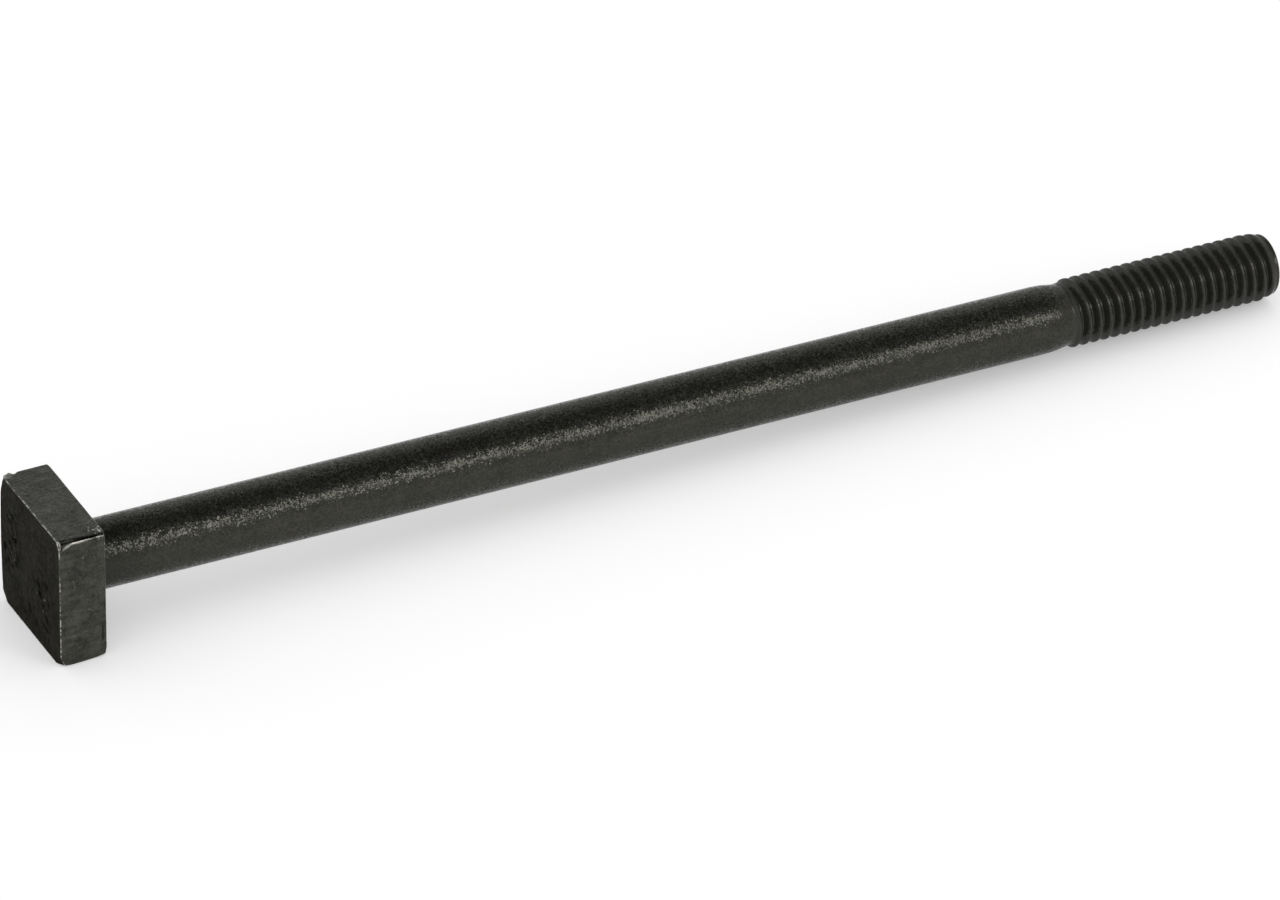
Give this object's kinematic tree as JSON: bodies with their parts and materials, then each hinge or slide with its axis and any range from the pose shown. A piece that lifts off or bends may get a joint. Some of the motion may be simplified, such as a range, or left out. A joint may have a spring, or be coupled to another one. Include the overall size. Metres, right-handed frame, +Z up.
{
  "type": "square-head exhaust bolt",
  "caption": "Long steel bolt with a flat square head, plain shank, short tapered neck and rolled right-hand thread at the end, in dark oxide finish.",
  "frame": {"origin": "on the bolt's axis at the bearing face under the head", "axes": "+X along the bolt from the head to the point of the thread; +Y and +Z square to two sides of the head, +Z up as it lies"},
  "size_m": [0.1813, 0.0184, 0.0184],
  "materials": {
    "black_steel": "dark oxide, worn satin"
  },
  "bodies": {
    "root": {"bolt": "black_steel"}
  },
  "joints": []
}
